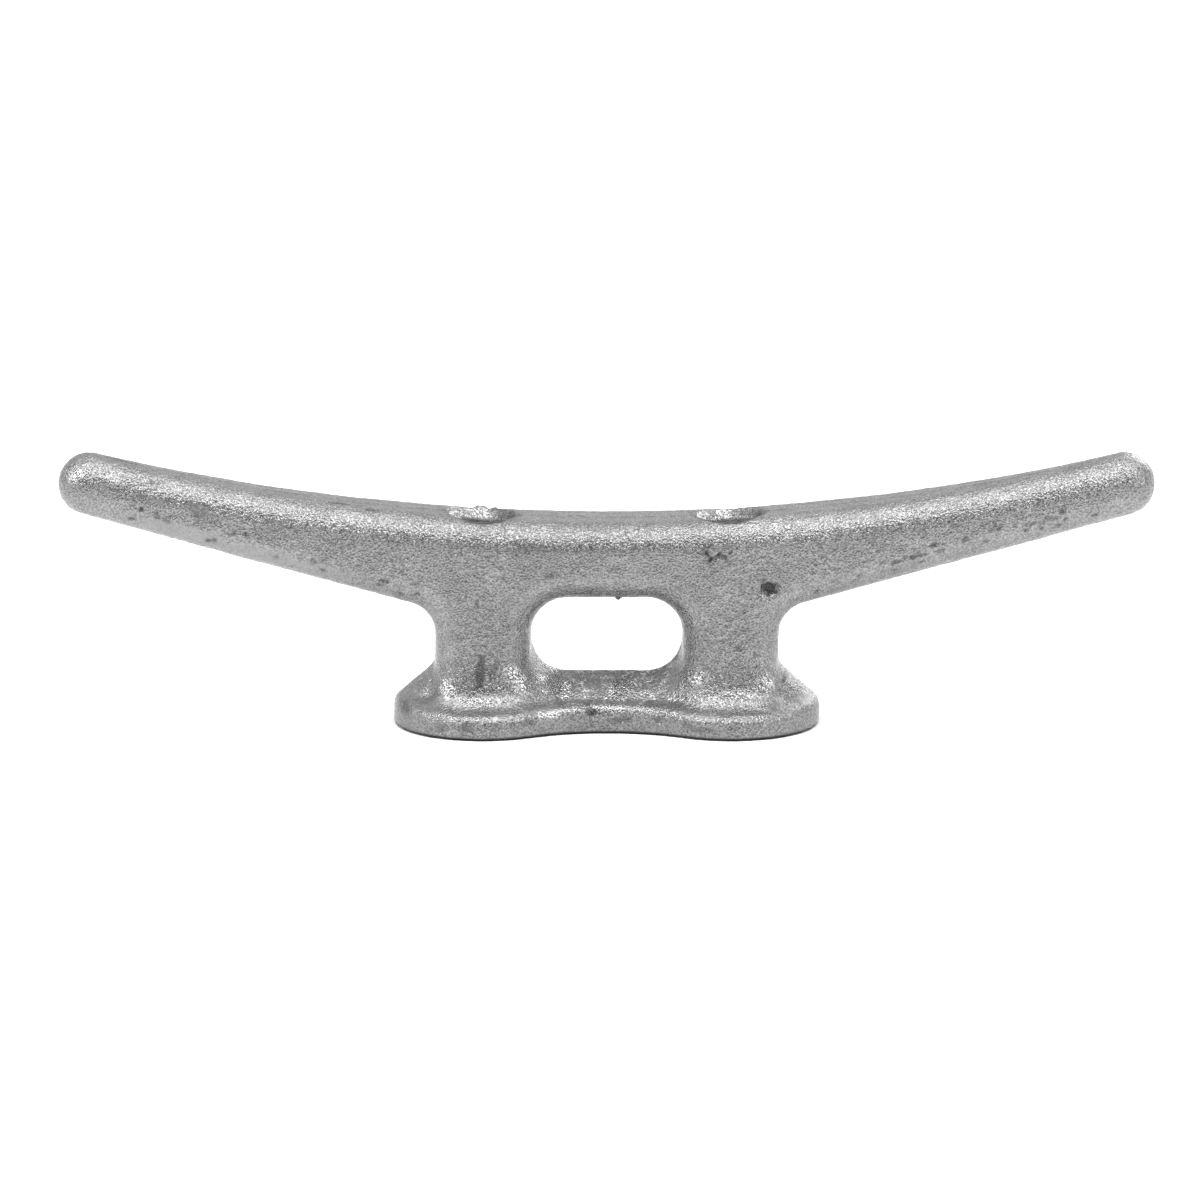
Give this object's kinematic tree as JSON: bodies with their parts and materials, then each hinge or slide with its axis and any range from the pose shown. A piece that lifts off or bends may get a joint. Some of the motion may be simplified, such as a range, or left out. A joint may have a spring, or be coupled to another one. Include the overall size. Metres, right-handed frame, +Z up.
{
  "type": "horn cleat",
  "caption": "Open-base horn cleat: outswept horns on a waisted foot, with a slot for a rope's eye and countersunk bolt holes through the legs.",
  "frame": {"origin": "underside of the base, midway between the bolt holes", "axes": "+X along the horns, +Y across the base, +Z up out of the deck"},
  "size_m": [0.2032, 0.033, 0.0508],
  "materials": {
    "galvanised_iron": "hot-dip galvanised, rough as cast"
  },
  "bodies": {
    "root": {"cleat_casting": "galvanised_iron"}
  },
  "joints": []
}
